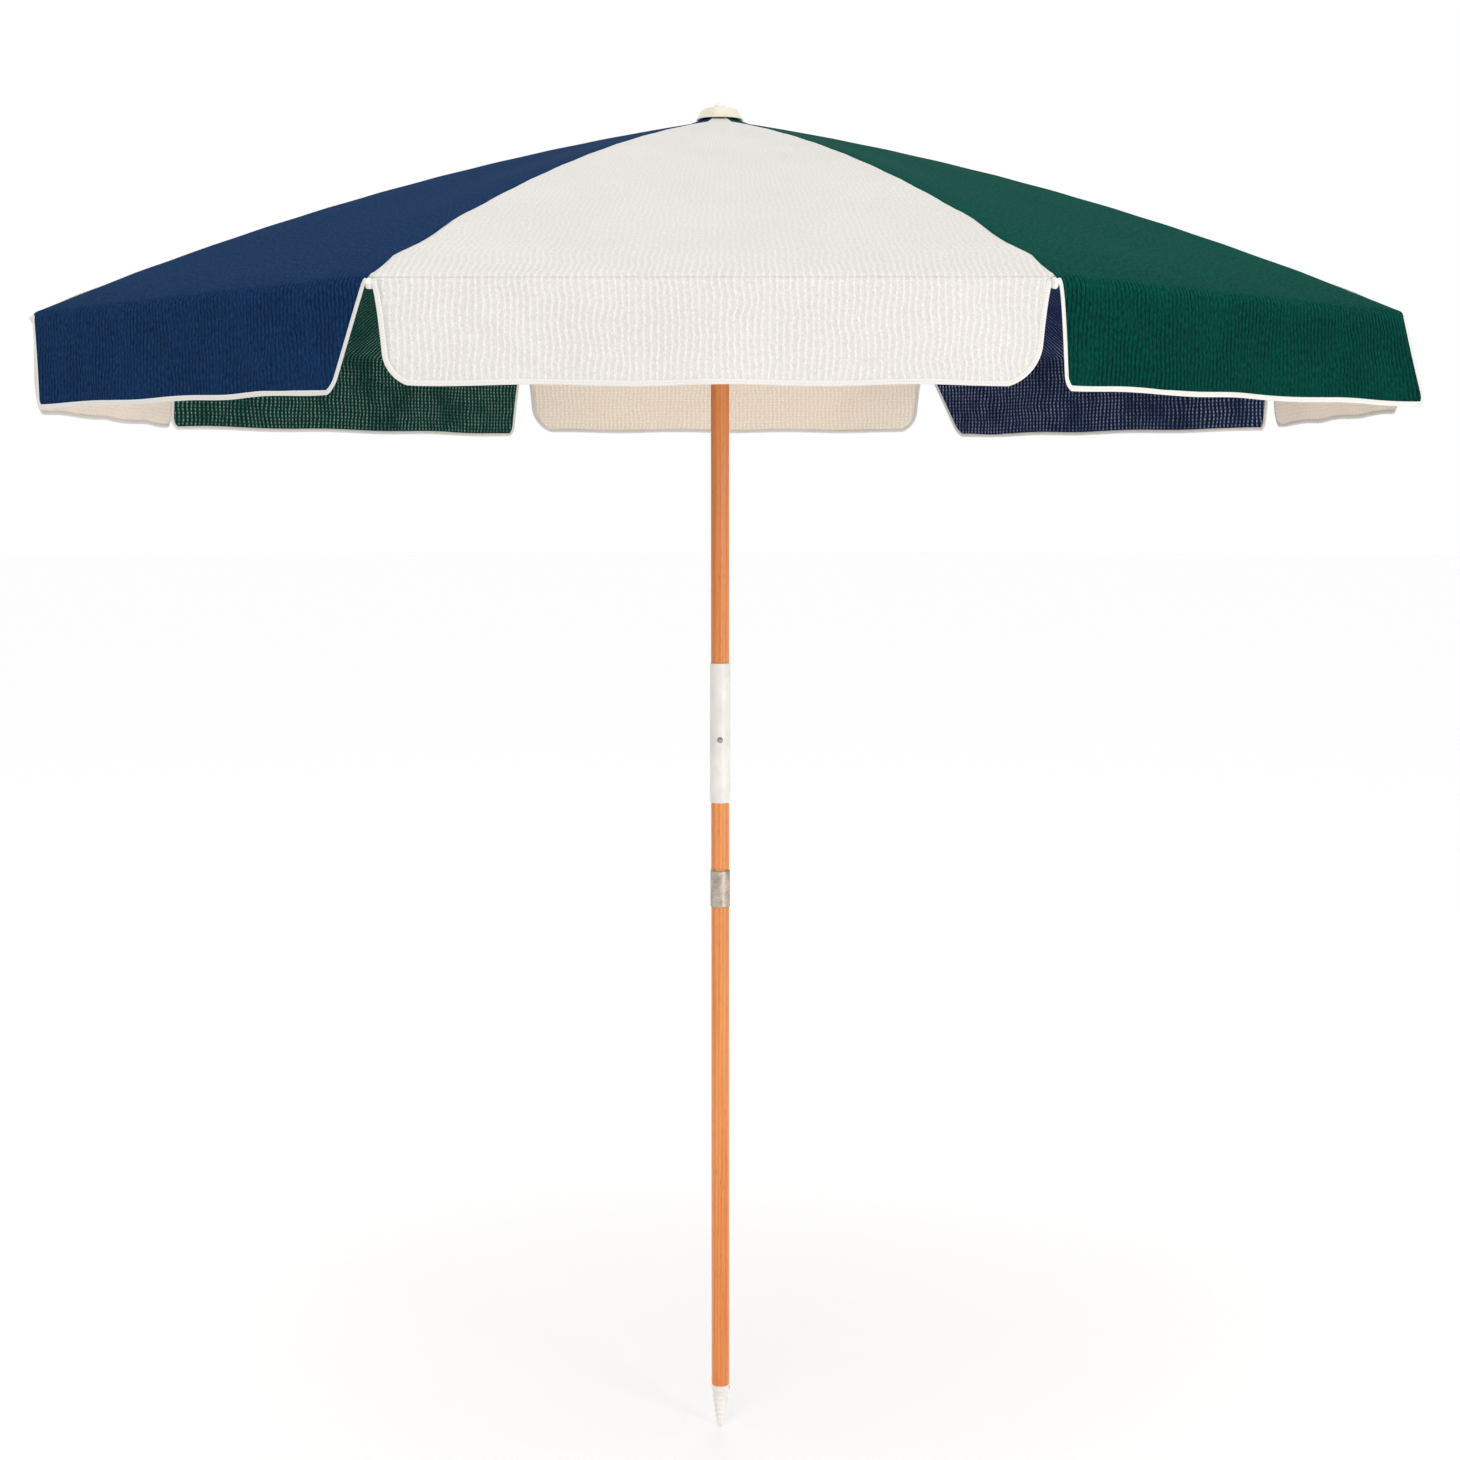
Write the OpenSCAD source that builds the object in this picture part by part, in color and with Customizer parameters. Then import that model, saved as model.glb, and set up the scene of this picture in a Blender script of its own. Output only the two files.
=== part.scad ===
// Beach umbrella with a two-piece wooden pole, a tilt joint under a white sleeve,
// eight steel ribs, eight stretchers, and a cloth canopy of eight panels with flaps.
// The origin is on the pole's axis where the wood ends and the ground spike begins.
// +Z runs up the pole and -Y is the front.

/* [Canopy] */
// Distance of the rib tips from the pole's axis
canopy_r = 1125; // [1080:5:1170]
// Height of the canopy's peak above the pole's lower end
peak_z = 2204; // [2190:1:2220]
// Height of the rib tips above the pole's lower end
rim_z = 1850; // [1830:1:1870]
// How far each rib bows upwards at its middle
rib_bow = 34; // [28:1:40]
// Drop of the flaps that hang from the rim
flap_drop = 139; // [120:1:155]
// How much narrower a flap is at its hem than at the rim, on each side
flap_taper = 34; // [20:1:45]
// Radius of a flap's lower corners
flap_corner_r = 32; // [20:1:45]
// Thickness of the cloth
cloth = 1.2; // [0.8:0.1:1.6]

/* [Pole] */
// Diameter of the wooden pole
pole_d = 31.5; // [31:0.1:32]
// Height of the ferrule's lower end
ferrule_z = 862; // [840:1:880]
// Length of the ferrule
ferrule_h = 63.5; // [55:0.5:70]
// Depth of the middle pole inside the ferrule
socket_depth = 38; // [30:1:42]
// Length of the ground spike below the pole
spike_h = 78; // [70:1:90]

/* [Tilt joint] */
// Height of the tilt pivot
tilt_z = 1065; // [1060:1:1070]
// Length of the sleeve that covers the tilt joint
sleeve_h = 242; // [236:1:248]
// Outside diameter of the sleeve
sleeve_d = 35.5; // [35.3:0.1:36]
// Height of the sleeve's screw above the sleeve's lower end
sleeve_screw_h = 110; // [108:1:112]

/* [Frame] */
// Diameter of a rib's wire
rib_d = 4.5; // [4:0.1:4.6]
// Diameter of a stretcher's wire
stretcher_d = 3.8; // [3.4:0.1:4]
// Distance of a rib's two pivots, which is also a stretcher's length
arm = 385; // [375:1:388]
// Distance of the pivots on the crown and the runner from the pole's axis
hub_r = 24; // [23.5:0.1:24.5]
// Angle between the folded stretchers and the pole
folded_angle = 5.5; // [5:0.5:8]

/* [Finial] */
// Diameter of the cap over the canopy's peak
cap_d = 80; // [76:1:84]
// Height of the cap without its knob
cap_h = 20; // [19:0.5:23]
// Diameter of the knob
knob_d = 19; // [16:1:22]

/* [Hidden] */
$fn = 64;
ribs = 8;
step = 360 / ribs;
half = step / 2;
front = -90;
cream = [0.93, 0.91, 0.86];
green = [0.06, 0.27, 0.20];
navy = [0.11, 0.19, 0.36];
wood = [0.83, 0.50, 0.27];
steel = [0.62, 0.60, 0.58];
white = [0.93, 0.92, 0.90];
panel_colours = [cream, green, cream, navy];

gap = 0.5;          // between cloth solids of different bodies
fit = 0.05;         // radial clearance of a turning pin
loose = 0.4;        // radial clearance of the runner on the pole
snug = 0.02;        // radial clearance of a pin driven into its own body
pole_r = pole_d / 2;

// The rib's profile is an arc through the peak and the rib tip
chord = norm([canopy_r, peak_z - rim_z]);
arc_r = chord * chord / (8 * rib_bow) + rib_bow / 2;
arc_slope = atan2(peak_z - rim_z, canopy_r);
arc_x = canopy_r / 2 - sin(arc_slope) * (arc_r - rib_bow);
arc_z = (peak_z + rim_z) / 2 - cos(arc_slope) * (arc_r - rib_bow);
function lean(x, depth) = asin((x - arc_x) / (arc_r - depth));
function arc_point(angle, depth) = [arc_x + (arc_r - depth) * sin(angle), arc_z + (arc_r - depth) * cos(angle)];
function profile(x) = arc_point(lean(x, 0), 0)[1];

// Depths of the frame's parts below the cloth's outer face
wire_depth = 6.8;
eye_depth = 7.8;
bracket_depth = 15.3;

// Pivots of one rib in its own vertical plane, as [distance from the axis, height]
crown_pivot = arc_point(lean(hub_r, eye_depth), eye_depth);
bracket_lean = lean(hub_r, eye_depth)
    + acos((pow(arc_r - eye_depth, 2) + pow(arc_r - bracket_depth, 2) - arm * arm)
        / (2 * (arc_r - eye_depth) * (arc_r - bracket_depth)));
bracket_pivot = arc_point(bracket_lean, bracket_depth);
tip_lean = lean(canopy_r, wire_depth);
open_angle = atan2(bracket_pivot[0] - hub_r, crown_pivot[1] - bracket_pivot[1]);
runner_pivot = [hub_r, crown_pivot[1] - 2 * arm * cos(open_angle)];
runner_travel = 2 * arm * (cos(folded_angle) - cos(open_angle));
fold_turn = open_angle - folded_angle;

// Frame fittings
eye_r = 4;
eye_w = 4.8;
slot_w = 5.3;
slot_in_r = 18;
crown_r = 29;
crown_pin_r = 1.25;
crown_pin_h = 13;
crown_top = crown_pivot[1] + 3.2;
crown_h = 12.5;
collar_r = 20;
collar_h = 12;
bracket_pin_r = 1.5;
bracket_w = 6.8;
ear_w = 1.2;
ear_r = 4;
clip_r = 3.9;
clip_h = 14;
stretcher_eye_r = 3.5;
stretcher_eye_w = 4.1;
trunnion_h = 10.4;
pocket_h = 11.2;
pocket_w = 3.8;
tip_r = 3.4;
tip_h = 16;
arc_fn = 1440;     // fine enough for the rib's long arc
runner_top = 6;
runner_low = 11;
skirt_r = 19.6;
skirt_low = 38;

// Catch that holds the open runner up
catch_w = 5;
catch_h = 44;
catch_depth = 9;
catch_reach = 3.2;
catch_top = runner_pivot[1] - skirt_low - gap;

// Pole fittings
pole_top = peak_z + 2;
ferrule_wall = 1.7;
spigot_r = pole_r - 0.3;
ferrule_in_r = spigot_r + fit;
ferrule_out_r = ferrule_in_r + ferrule_wall;
joint_z = ferrule_z + ferrule_h - socket_depth;
tenon_r = 12;
tenon_h = 18;
spike_nail_z = -6;
spike_nail_reach = pole_r;
spike_rings = 8;

// Tilt joint: round ends on both halves turn inside the sleeve
ball_r = pole_r - 0.25;
shoulder = pole_r + 0.45;
disc_h = 2.6;
tongue_w = 10;
fork_gap = tongue_w + 0.6;
tilt_pin_r = 3;
tilt_pin_h = 27;
stud_r = 6;
stud_h = 34;
sleeve_low = tilt_z - 20;
sleeve_bore_r = pole_r + 0.75;
sleeve_travel = 92;
screw_z = sleeve_low + sleeve_screw_h;
screw_r = 1.75;
screw_head_r = 3.8;
screw_head_h = 1.8;
screw_tip = pole_r - 3;
groove_w = 5;
groove_depth = 4;
groove_play = 5;

// Finial
cap_z = profile(cap_d / 2) + 6.2;
cap_wall = 2.4;
cap_slant = 7.5;
cap_boss_r = 14;
knob_h = 9.5;
cap_screw_r = 3;
cap_screw_h = 24;

// Panel 1 faces the front and the others follow anticlockwise seen from above; rib i
// lies on the clockwise side of panel i
function panel_turn(i) = front + step * (i - 1);
function rib_turn(i) = panel_turn(i) - half;

// Cylinder along Y, centred on a point of the rib's plane
module cross_pin(point, r, h) {
    translate([point[0], h / 2, point[1]])
        rotate([90, 0, 0])
            cylinder(r = r, h = h);
}

// Turns +Z along the rib's plane, from a point, at an angle below the horizontal
module aim(point, slope) {
    translate([point[0], 0, point[1]])
        rotate([0, 90 + slope, 0])
            children();
}

module tube(r_out, r_in, z, h) {
    translate([0, 0, z])
        difference() {
            cylinder(r = r_out, h = h);
            translate([0, 0, -1])
                cylinder(r = r_in, h = h + 2);
        }
}

// Slab centred on the axis, across X, of a width along Y
module slab(width, z, h) {
    translate([-pole_d, -width / 2, z])
        cube([2 * pole_d, width, h]);
}

// ---- Lower pole ----

module lower_pole() {
    color(wood)
        difference() {
            union() {
                cylinder(r = pole_r, h = ferrule_z - gap);
                cylinder(r = spigot_r, h = joint_z);
                translate([0, 0, -tenon_h])
                    cylinder(r = tenon_r, h = tenon_h + 1);
            }
            ferrule_pin_holes(snug);
            translate([tenon_r - 6, 0, spike_nail_z])
                rotate([0, 90, 0])
                    cylinder(r = 1 + snug, h = 8);
        }
}

// White plastic point with a socket for the pole's reduced end and barbed rings outside
module ground_spike() {
    ring_h = (spike_h - 14) / spike_rings;
    tip_w = 3.2;
    collar_w = pole_r - 0.3;
    function core(z) = tip_w + (collar_w - 1.6 - tip_w) * pow((spike_h + z) / (spike_h - 14), 0.72);
    color(white)
        difference() {
            rotate_extrude()
                polygon(concat(
                    [[0, -gap / 2], [collar_w, -gap / 2], [collar_w, -12], [core(-14), -14]],
                    [for (k = [0:spike_rings - 2], s = [0, 1])
                        let (z = -14 - (k + 0.35 + 0.65 * s) * ring_h)
                        s == 0 ? [core(z) + 1.3, z] : [core(z), z]],
                    [[tip_w, 1.5 - spike_h], [tip_w - 1.4, -spike_h], [0, -spike_h]]));
            translate([0, 0, -tenon_h - gap])
                cylinder(r = tenon_r + fit, h = tenon_h + 2);
            translate([tenon_r - 2, 0, spike_nail_z])
                rotate([0, 90, 0])
                    cylinder(r = 1 + snug, h = 8);
        }
}

module spike_nail() {
    head_h = 0.3;
    color(steel)
        translate([0, 0, spike_nail_z])
            rotate([0, 90, 0]) {
                translate([0, 0, tenon_r - 5])
                    cylinder(r = 1, h = spike_nail_reach - tenon_r + 5);
                translate([0, 0, spike_nail_reach - head_h])
                    cylinder(r = 2, h = head_h);
            }
}

module ferrule() {
    color(steel)
        difference() {
            tube(ferrule_out_r, ferrule_in_r, ferrule_z, ferrule_h);
            ferrule_pin_holes(snug);
        }
}

module ferrule_pin_holes(extra) {
    for (turn = [0, 120, 240])
        rotate([0, 0, front + turn])
            translate([spigot_r - 8, 0, ferrule_z + 8])
                rotate([0, 90, 0])
                    cylinder(r = 1 + extra, h = 12);
}

// Three short nails through the ferrule into the lower pole
module ferrule_pins() {
    color(steel)
        for (turn = [0, 120, 240])
            rotate([0, 0, front + turn])
                translate([spigot_r - 7, 0, ferrule_z + 8])
                    rotate([0, 90, 0])
                        cylinder(r = 1, h = 7.4 + fit + ferrule_wall);
}

// ---- Middle pole and the lower half of the tilt joint ----

module middle_pole() {
    top = tilt_z - shoulder - disc_h;
    ledge = ferrule_z + ferrule_h + gap;
    color(wood)
        difference() {
            union() {
                translate([0, 0, ledge])
                    cylinder(r = pole_r, h = top - ledge);
                translate([0, 0, joint_z + gap / 2])
                    cylinder(r = spigot_r, h = ledge - joint_z);
            }
            translate([0, 0, top - stud_h - gap])
                cylinder(r = stud_r + fit, h = stud_h + 2);
        }
}

module tilt_fork() {
    low = tilt_z - shoulder - disc_h;
    color(steel)
        difference() {
            union() {
                translate([0, 0, low])
                    cylinder(r = pole_r, h = tilt_z - low);
                intersection() {
                    translate([0, 0, tilt_z])
                        sphere(r = ball_r);
                    translate([0, 0, tilt_z - 1])
                        cylinder(r = pole_r, h = pole_r);
                }
                translate([0, 0, low - stud_h])
                    cylinder(r = stud_r, h = stud_h + 1);
            }
            slab(fork_gap, low + disc_h, 2 * pole_d);
            cross_pin([0, tilt_z], tilt_pin_r + snug, pole_d + 2);
        }
}

module tilt_pin() {
    color(steel)
        cross_pin([0, tilt_z], tilt_pin_r, tilt_pin_h);
}

// ---- Sleeve ----

module tilt_sleeve() {
    color(white)
        difference() {
            tube(sleeve_d / 2, sleeve_bore_r, sleeve_low, sleeve_h);
            translate([0, 0, screw_z])
                rotate([90, 0, 0])
                    cylinder(r = screw_r + snug, h = sleeve_d);
        }
}

// Screw through the sleeve whose tip runs in the upper pole's groove
module sleeve_screw() {
    face = sleeve_d / 2 - 0.1;
    color(steel)
        difference() {
            translate([0, 0, screw_z])
                rotate([90, 0, 0]) {
                    translate([0, 0, screw_tip])
                        cylinder(r = screw_r, h = face - screw_tip + 1);
                    translate([0, 0, face + 0.1])
                        cylinder(r1 = screw_head_r, r2 = screw_head_r - 1.2, h = screw_head_h);
                }
            translate([-screw_head_r, -face - screw_head_h - 0.8, screw_z - 0.4])
                cube([2 * screw_head_r, 1.6, 0.8]);
        }
}

// ---- Upper pole, the upper half of the tilt joint, crown and finial ----

module upper_pole() {
    low = tilt_z + shoulder + disc_h;
    color(wood)
        difference() {
            translate([0, 0, low])
                cylinder(r = pole_r, h = pole_top - low);
            translate([0, 0, low - 1])
                cylinder(r = stud_r + fit, h = stud_h + 1 + gap);
            translate([-groove_w / 2, -pole_d, screw_z - groove_play])
                cube([groove_w, pole_d - pole_r + groove_depth, sleeve_travel + 2 * groove_play]);
            translate([-catch_w / 2 - 0.2, -pole_d, catch_top - catch_h - 0.3])
                cube([catch_w + 0.4, pole_d - pole_r + catch_depth + 0.2, catch_h + 0.6]);
            translate([-pole_r - 1, 0, crown_top - crown_h - collar_h / 2])
                rotate([0, 90, 0])
                    cylinder(r = 1.5 + snug, h = pole_d + 2);
            translate([0, 0, pole_top - cap_screw_h])
                cylinder(r = cap_screw_r + snug, h = cap_screw_h + 1);
        }
}

module tilt_tongue() {
    top = tilt_z + shoulder + disc_h;
    color(steel)
        difference() {
            union() {
                intersection() {
                    union() {
                        translate([0, 0, tilt_z])
                            sphere(r = ball_r);
                        translate([0, 0, tilt_z])
                            cylinder(r = pole_r, h = shoulder + 1);
                    }
                    slab(tongue_w, tilt_z - pole_d, 2 * pole_d);
                }
                translate([0, 0, top - disc_h])
                    cylinder(r = pole_r, h = disc_h);
                translate([0, 0, top - 1])
                    cylinder(r = stud_r, h = stud_h + 1);
            }
            cross_pin([0, tilt_z], tilt_pin_r + fit, pole_d);
        }
}

module crown() {
    color(white)
        difference() {
            union() {
                translate([0, 0, crown_top - crown_h])
                    cylinder(r = crown_r, h = crown_h);
                translate([0, 0, crown_top - crown_h - collar_h])
                    cylinder(r = collar_r, h = collar_h + 1);
            }
            translate([0, 0, crown_top - crown_h - collar_h - 1])
                cylinder(r = pole_r + fit, h = crown_h + collar_h + 2);
            for (i = [1:ribs])
                rotate([0, 0, rib_turn(i)]) {
                    translate([slot_in_r, -slot_w / 2, crown_top - crown_h - 1])
                        cube([crown_r, slot_w, crown_h + 2]);
                    cross_pin(crown_pivot, crown_pin_r + snug, crown_pin_h + 0.4);
                }
            translate([-collar_r - 1, 0, crown_top - crown_h - collar_h / 2])
                rotate([0, 90, 0])
                    cylinder(r = 1.5 + snug, h = 2 * collar_r + 2);
        }
}

module crown_pins() {
    color(steel)
        for (i = [1:ribs])
            rotate([0, 0, rib_turn(i)])
                cross_pin(crown_pivot, crown_pin_r, crown_pin_h);
}

module crown_nail() {
    color(steel)
        translate([-collar_r, 0, crown_top - crown_h - collar_h / 2])
            rotate([0, 90, 0])
                cylinder(r = 1.5, h = 2 * collar_r);
}

// Spring leaf in the pole's slot; its shoulder stands under the runner
module runner_catch() {
    low = catch_top - catch_h;
    back = catch_depth - pole_r;
    leaf = 1.6;
    color(steel)
        translate([catch_w / 2, 0, 0])
            rotate([90, 0, -90])
                linear_extrude(catch_w)
                    polygon([
                        [-back, low], [-back + leaf, low],
                        [-back + leaf, low + 10], [pole_r + catch_reach, catch_top - 4],
                        [pole_r + catch_reach, catch_top], [pole_r - 4, catch_top],
                        [pole_r - 4, catch_top - 6], [-back, low + 12]]);
}

// Reinforcing ring of cloth over the panels, under the cap
module apex_patch() {
    r_in = pole_r + 0.8;
    r_out = cap_d / 2 - 13;
    color(cream)
        rotate_extrude()
            polygon([
                [r_in, profile(r_in) + gap], [r_out, profile(r_out) + gap],
                [r_out, profile(r_out) + gap + cloth], [r_in, profile(r_in) + gap + cloth]]);
}

module finial_cap() {
    r = cap_d / 2;
    color(cream)
        difference() {
            translate([0, 0, cap_z])
                rotate_extrude()
                    polygon([
                        [0, 0], [r, 0], [r - 0.8, cap_h * 0.1], [r - 1.5 - cap_slant, cap_h * 0.8],
                        [r - 4 - cap_slant, cap_h * 0.93], [knob_d / 2, cap_h], [0, cap_h]]);
            translate([0, 0, cap_z - 1])
                difference() {
                    cylinder(r1 = r - cap_wall, r2 = r - cap_wall - cap_slant, h = cap_h * 0.6 + 1);
                    translate([0, 0, pole_top - cap_z + 1.2])
                        cylinder(r = cap_boss_r, h = cap_h);
                }
            translate([0, 0, cap_z])
                cylinder(r = cap_screw_r + snug, h = cap_h + 1);
        }
}

// Domed knob on the screw that holds the cap and the crown's cloth to the pole
module finial_knob() {
    color(white)
        translate([0, 0, cap_z + cap_h + fit]) {
            rotate_extrude()
                polygon([
                    [0, 0], [knob_d / 2, 0], [knob_d / 2, knob_h * 0.35], [knob_d * 0.42, knob_h * 0.65],
                    [knob_d * 0.28, knob_h * 0.88], [knob_d * 0.12, knob_h], [0, knob_h]]);
            translate([0, 0, pole_top - cap_screw_h + 2 - cap_z - cap_h])
                cylinder(r = cap_screw_r, h = cap_z + cap_h - pole_top + cap_screw_h);
        }
}

// ---- Runner, ribs and stretchers ----

module runner() {
    low = runner_pivot[1] - runner_low;
    color(white)
        difference() {
            union() {
                translate([0, 0, low])
                    cylinder(r = crown_r, h = runner_low + runner_top);
                translate([0, 0, runner_pivot[1] - skirt_low])
                    cylinder(r = skirt_r, h = skirt_low);
            }
            translate([0, 0, runner_pivot[1] - skirt_low - 1])
                cylinder(r = pole_r + loose, h = skirt_low + runner_top + 2);
            for (i = [1:ribs])
                rotate([0, 0, rib_turn(i)]) {
                    translate([skirt_r, -slot_w / 2, low - 1])
                        cube([crown_r, slot_w, runner_low + runner_top + 2]);
                    translate([hub_r - pocket_w / 2, -pocket_h / 2, low - 1])
                        cube([pocket_w, pocket_h, runner_low + runner_top + 2]);
                }
        }
}

// Sprung steel wire with its eye at the crown, the stretcher's bracket and a plastic tip
module rib(i) {
    root_lean = lean(hub_r + eye_r / 2, wire_depth);
    rotate([0, 0, rib_turn(i)]) {
        color(steel)
            difference() {
                union() {
                    translate([arc_x, 0, arc_z])
                        rotate([90, 0, 0])
                            rotate([0, 0, 90 - tip_lean])
                                rotate_extrude(angle = tip_lean - root_lean, $fn = arc_fn)
                                    translate([arc_r - wire_depth, 0])
                                        circle(r = rib_d / 2, $fn = 24);
                    cross_pin(crown_pivot, eye_r, eye_w);
                }
                cross_pin(crown_pivot, crown_pin_r + fit, eye_w + 2);
            }
        rib_bracket();
        rib_tip();
    }
}

// Clip round the wire with two ears that hold the stretcher's eye on a pin
module rib_bracket() {
    web = bracket_depth - wire_depth;
    color(steel) {
        difference() {
            union() {
                aim(arc_point(bracket_lean, wire_depth), bracket_lean)
                    translate([0, 0, -clip_h / 2])
                        cylinder(r = clip_r, h = clip_h);
                cross_pin(bracket_pivot, ear_r, bracket_w);
                bracket_block(ear_r - ear_w / 2, bracket_w, 0, web);
            }
            aim(arc_point(bracket_lean, wire_depth), bracket_lean)
                translate([0, 0, -clip_h])
                    cylinder(r = rib_d / 2 + fit, h = 2 * clip_h);
            bracket_block(ear_r + 1, bracket_w - 2 * ear_w, -ear_r - 1, ear_r);
            cross_pin(bracket_pivot, bracket_pin_r + snug, bracket_w + 2);
        }
        cross_pin(bracket_pivot, bracket_pin_r, bracket_w);
    }
}

// Block at the bracket's pivot, square to the wire, between two heights towards it
module bracket_block(reach, width, low, high) {
    translate([bracket_pivot[0], 0, bracket_pivot[1]])
        rotate([0, bracket_lean, 0])
            translate([-reach, -width / 2, low])
                cube([2 * reach, width, high - low]);
}

module rib_tip() {
    bore = rib_d / 2 + 2 * fit;
    color(white)
        aim(arc_point(tip_lean, wire_depth), tip_lean)
            rotate_extrude()
                polygon([
                    [bore, -tip_h], [tip_r, -tip_h], [tip_r, 0], [tip_r - 0.9, 2.2],
                    [1, 3], [0, 3], [0, 0.3], [bore, 0.3]]);
}

// Straight wire between the rib's bracket and the runner, with trunnions at the runner
module stretcher(i) {
    rotate([0, 0, rib_turn(i)])
        color(steel)
            difference() {
                union() {
                    translate([runner_pivot[0], 0, runner_pivot[1]])
                        rotate([0, open_angle, 0])
                            translate([0, 0, 1])
                                cylinder(r = stretcher_d / 2, h = arm - 2, $fn = 24);
                    cross_pin(bracket_pivot, stretcher_eye_r, stretcher_eye_w);
                    cross_pin(runner_pivot, stretcher_eye_r, stretcher_eye_w);
                    cross_pin(runner_pivot, bracket_pin_r, trunnion_h);
                }
                cross_pin(bracket_pivot, bracket_pin_r + fit, bracket_w);
            }
}

// ---- Canopy ----

// One gore between two ribs: straight across, bowed along its length
module panel(i) {
    rows = 7;
    hole_r = pole_r + 4.5;
    function at(row) = hole_r + (canopy_r - hole_r) * row / rows;
    function across(x) = x * sin(half) - gap / 2 / cos(half);
    points = [for (row = [0:rows], down = [0, cloth], side = [-1, 1])
        [at(row) * cos(half), side * across(at(row)), profile(at(row)) - down]];
    strips = [for (row = [0:rows - 1], f = [0:3])
        let (a = 4 * row, b = a + 4)
        f == 0 ? [a, a + 1, b + 1, b]
        : f == 1 ? [a + 2, b + 2, b + 3, a + 3]
        : f == 2 ? [a, b, b + 2, a + 2]
        : [a + 1, a + 3, b + 3, b + 1]];
    ends = [[0, 2, 3, 1], [4 * rows, 4 * rows + 1, 4 * rows + 3, 4 * rows + 2]];
    color(panel_colours[(i - 1) % len(panel_colours)])
        rotate([0, 0, panel_turn(i)])
            polyhedron(points = points, faces = concat(strips, ends), convexity = 4);
}

// The flap that hangs from a panel's rim, with round lower corners
module flap(i) {
    apothem = canopy_r * cos(half);
    top = rim_z - cloth - gap;
    width = canopy_r * sin(half) - 7;
    hem = width - flap_taper;
    low = rim_z - flap_drop;
    c = flap_corner_r;
    color(panel_colours[(i - 1) % len(panel_colours)])
        rotate([0, 0, panel_turn(i)])
            translate([apothem, 0, 0])
                rotate([90, 0, -90])
                    linear_extrude(cloth)
                        polygon(concat(
                            [[-width, top], [width, top]],
                            [for (a = [0:-15:-90]) [hem, low] + c * [cos(a) - 1, sin(a) + 1]],
                            [for (a = [-90:-15:-180]) [-hem, low] + c * [cos(a) + 1, sin(a) + 1]]));
}

lower_pole();
ground_spike();
spike_nail();
ferrule();
ferrule_pins();
middle_pole();
tilt_fork();
tilt_pin();
tilt_sleeve();
sleeve_screw();
upper_pole();
tilt_tongue();
crown();
crown_pins();
crown_nail();
runner_catch();
apex_patch();
finial_cap();
finial_knob();
runner();
for (i = [1:ribs]) {
    rib(i);
    stretcher(i);
    panel(i);
    flap(i);
}
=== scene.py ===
"""Looks of the beach umbrella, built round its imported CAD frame. Metres; -Y is the front."""

import math

import bmesh
import bpy
from mathutils import Matrix, Vector


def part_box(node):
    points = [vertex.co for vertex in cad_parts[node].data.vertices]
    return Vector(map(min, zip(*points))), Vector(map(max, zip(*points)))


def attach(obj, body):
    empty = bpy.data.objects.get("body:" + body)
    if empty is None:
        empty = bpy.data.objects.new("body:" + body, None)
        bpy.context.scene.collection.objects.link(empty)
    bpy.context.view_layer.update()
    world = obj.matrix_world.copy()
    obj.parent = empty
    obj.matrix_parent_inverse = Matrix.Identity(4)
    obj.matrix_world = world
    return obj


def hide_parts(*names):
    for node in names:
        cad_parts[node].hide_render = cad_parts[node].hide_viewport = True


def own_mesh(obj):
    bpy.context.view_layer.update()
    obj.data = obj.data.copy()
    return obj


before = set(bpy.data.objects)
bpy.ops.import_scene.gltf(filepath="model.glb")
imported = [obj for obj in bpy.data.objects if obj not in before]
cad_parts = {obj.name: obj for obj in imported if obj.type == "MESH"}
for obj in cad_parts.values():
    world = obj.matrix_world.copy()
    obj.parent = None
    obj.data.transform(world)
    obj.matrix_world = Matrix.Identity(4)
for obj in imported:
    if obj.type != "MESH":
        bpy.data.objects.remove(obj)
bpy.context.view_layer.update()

# ---- Driving sizes, read from the frame ----

RIBS = 8
STEP = math.tau / RIBS
HALF = STEP / 2
FRONT = -math.pi / 2
CLOTH = 0.0011
APOTHEM = -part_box("panel_1")[0].y
CANOPY_R = APOTHEM / math.cos(HALF)
RIM_HALF = CANOPY_R * math.sin(HALF)
RIM_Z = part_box("panel_1")[0].z + 0.0012
PEAK_Z = 2.204  # height of the rib lines' peak, the CAD's peak_z
RIB_BOW = 0.034  # how far a rib bows above its straight line, the CAD's rib_bow
PEAK_LIFT = 0.010  # how far the cloth is pulled up at the pole
HOLE_R = 0.022
HELD_R = 0.026  # the cloth inside this radius stays at the crown, under the cap
FREE_R = 0.046  # the cloth outside this radius follows the ribs
FLAP_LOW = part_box("flap_1")[0].z
FLAP_DROP = RIM_Z - FLAP_LOW
# Each flap's clockwise and anticlockwise ends: taper, the taper's power, and corner radius.
FLAP_CUTS = {
    "cream": ((0.020, 0.55, 0.040), (0.018, 0.50, 0.052)),
    "green": ((0.028, 0.50, 0.018), (-0.006, 1.0, 0.022)),
    "navy": ((0.018, 1.0, 0.014), (0.089, 0.95, 0.020)),
}
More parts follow.
